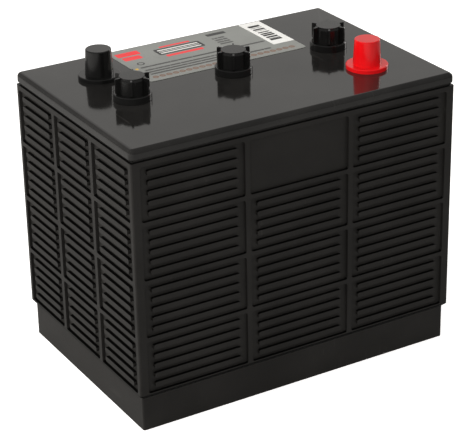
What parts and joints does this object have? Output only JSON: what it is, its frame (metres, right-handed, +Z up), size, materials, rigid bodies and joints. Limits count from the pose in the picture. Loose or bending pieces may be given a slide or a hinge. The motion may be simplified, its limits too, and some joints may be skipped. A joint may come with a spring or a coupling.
{
  "type": "deep cycle battery",
  "caption": "Six-volt flooded deep cycle battery: ribbed black case with stepped base, flat cover, quarter-turn vent plugs and capped tapered lead posts.",
  "frame": {"origin": "middle of the case's underside", "axes": "+X along the long side towards the positive post, -Y the front, +Z up"},
  "size_m": [0.264, 0.178, 0.237],
  "materials": {
    "case_plastic": "moulded polypropylene with a fine grain, satin",
    "cover_plastic": "smooth moulded polypropylene",
    "label_film": "printed grey film with plain colour blocks",
    "sticker_paper": "white sticker with plain bars",
    "red_cap_plastic": "glossy red polyethylene",
    "black_cap_plastic": "glossy black polyethylene",
    "vent_plastic": "glossy black polypropylene",
    "gasket_rubber": "soft black rubber",
    "baffle_plastic": "natural polypropylene",
    "arrestor_stone": "sintered porous disc",
    "separator_sheet": "microporous sheet",
    "positive_paste": "dark brown lead dioxide paste on a lead grid",
    "negative_paste": "grey sponge lead paste on a lead grid",
    "strap_lead": "dull cast lead",
    "terminal_lead": "dull cast lead"
  },
  "bodies": {
    "battery": {"container": "case_plastic", "cover": "cover_plastic", "top_label": "label_film", "barcode_label": "sticker_paper", "positive_terminal_bushing": "terminal_lead", "positive_terminal_pillar": "terminal_lead", "negative_terminal_bushing": "terminal_lead", "negative_terminal_pillar": "terminal_lead", "intercell_weld_1": "terminal_lead", "intercell_weld_2": "terminal_lead", "separators_1": "separator_sheet", "positive_plates_1": "positive_paste", "negative_plates_1": "negative_paste", "positive_strap_1": "strap_lead", "negative_strap_1": "strap_lead", "separators_2": "separator_sheet", "positive_plates_2": "positive_paste", "negative_plates_2": "negative_paste", "positive_strap_2": "strap_lead", "negative_strap_2": "strap_lead", "separators_3": "separator_sheet", "positive_plates_3": "positive_paste", "negative_plates_3": "negative_paste", "positive_strap_3": "strap_lead", "negative_strap_3": "strap_lead"},
    "vent_gasket_1": {"vent_gasket_1": "gasket_rubber"},
    "vent_plug_1": {"vent_plug_1": "vent_plastic", "vent_baffle_1": "baffle_plastic", "flame_arrestor_1": "arrestor_stone"},
    "vent_gasket_2": {"vent_gasket_2": "gasket_rubber"},
    "vent_plug_2": {"vent_plug_2": "vent_plastic", "vent_baffle_2": "baffle_plastic", "flame_arrestor_2": "arrestor_stone"},
    "vent_gasket_3": {"vent_gasket_3": "gasket_rubber"},
    "vent_plug_3": {"vent_plug_3": "vent_plastic", "vent_baffle_3": "baffle_plastic", "flame_arrestor_3": "arrestor_stone"},
    "positive_terminal_cover": {"positive_terminal_cover": "red_cap_plastic"},
    "negative_terminal_cover": {"negative_terminal_cover": "black_cap_plastic"}
  },
  "joints": [
    {"name": "vent_lift_1", "type": "slide", "parent": "battery", "child": "vent_gasket_1", "axis": [0, 0, 1], "range_m": [0, 0.04]},
    {"name": "vent_turn_1", "type": "hinge", "parent": "vent_gasket_1", "child": "vent_plug_1", "pos_m": [-0.08593, -0.0064, 0.2152], "axis": [0, 0, -1], "range_deg": [0, 90]},
    {"name": "vent_lift_2", "type": "slide", "parent": "battery", "child": "vent_gasket_2", "axis": [0, 0, 1], "range_m": [0, 0.04]},
    {"name": "vent_turn_2", "type": "hinge", "parent": "vent_gasket_2", "child": "vent_plug_2", "pos_m": [0, 0, 0.2152], "axis": [0, 0, -1], "range_deg": [0, 90]},
    {"name": "vent_lift_3", "type": "slide", "parent": "battery", "child": "vent_gasket_3", "axis": [0, 0, 1], "range_m": [0, 0.04]},
    {"name": "vent_turn_3", "type": "hinge", "parent": "vent_gasket_3", "child": "vent_plug_3", "pos_m": [0.08593, 0.0064, 0.2152], "axis": [0, 0, -1], "range_deg": [0, 90]},
    {"name": "positive_cover_lift", "type": "slide", "parent": "battery", "child": "positive_terminal_cover", "axis": [0, 0, 1], "range_m": [0, 0.04]},
    {"name": "negative_cover_lift", "type": "slide", "parent": "battery", "child": "negative_terminal_cover", "axis": [0, 0, 1], "range_m": [0, 0.04]}
  ]
}
